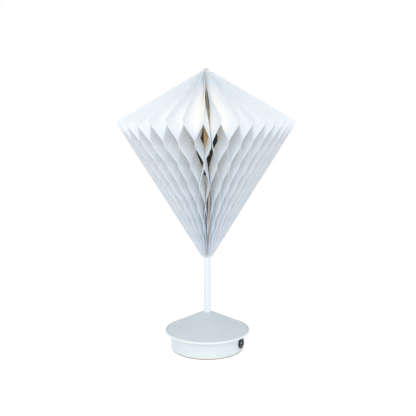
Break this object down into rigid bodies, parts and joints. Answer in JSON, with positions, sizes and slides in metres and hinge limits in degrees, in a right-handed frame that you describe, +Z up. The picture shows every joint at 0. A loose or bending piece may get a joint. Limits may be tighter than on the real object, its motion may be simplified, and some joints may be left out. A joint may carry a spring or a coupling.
{
  "type": "table lamp",
  "caption": "Table lamp with a diamond-shaped honeycomb paper shade that turns on a slim stem above a weighted round metal base.",
  "frame": {"origin": "on the table, under the stem's axis, at the centre of the foot pad", "axes": "+Z up along the stem, -Y towards the front, +X to the lamp's right as seen from the front"},
  "size_m": [0.213, 0.2132, 0.34],
  "materials": {
    "cover_paint": "satin",
    "drum_paint": "satin",
    "stem_paint": "satin",
    "zinc_steel": "satin",
    "pad": "matte",
    "ballast": "matte",
    "screw_steel": "satin",
    "core_black": "matte",
    "phosphor": "gloss",
    "cap_metal": "satin",
    "socket_black": "gloss",
    "pin_plate": "gloss",
    "board": "matte",
    "board_parts": "matte",
    "lead": "matte",
    "spine": "matte",
    "kraft": "matte",
    "paper": "matte"
  },
  "bodies": {
    "stand": {"base_cover": "cover_paint", "base_drum": "drum_paint", "base_plate": "zinc_steel", "foot_pad": "pad", "ballast_disc": "ballast", "base_screws": "screw_steel", "stem_tube": "stem_paint", "stem_nut": "screw_steel", "rest_collar": "stem_paint", "led_core": "core_black", "led_strips": "phosphor", "spindle": "screw_steel", "top_cap": "cap_metal", "socket_body": "socket_black", "socket_pin": "pin_plate", "socket_nut": "socket_black", "driver_board": "board", "driver_parts": "board_parts", "socket_leads": "lead", "stem_leads": "lead"},
    "shade": {"lower_sleeve": "spine", "upper_sleeve": "spine", "seam_card": "kraft", "pleats_01": "paper", "pleats_02": "paper", "pleats_03": "paper", "pleats_04": "paper", "pleats_05": "paper", "pleats_06": "paper", "pleats_07": "paper", "pleats_08": "paper", "pleats_09": "paper", "pleats_10": "paper", "pleats_11": "paper", "pleats_12": "paper", "pleats_13": "paper", "pleats_14": "paper", "pleats_15": "paper", "pleats_16": "paper", "pleats_17": "paper", "pleats_18": "paper", "pleats_19": "paper", "pleats_20": "paper"}
  },
  "joints": [
    {"name": "shade_turn", "type": "hinge", "parent": "stand", "child": "shade", "pos_m": [0, 0, 0.115], "axis": [0, 0, 1], "continuous": true}
  ]
}
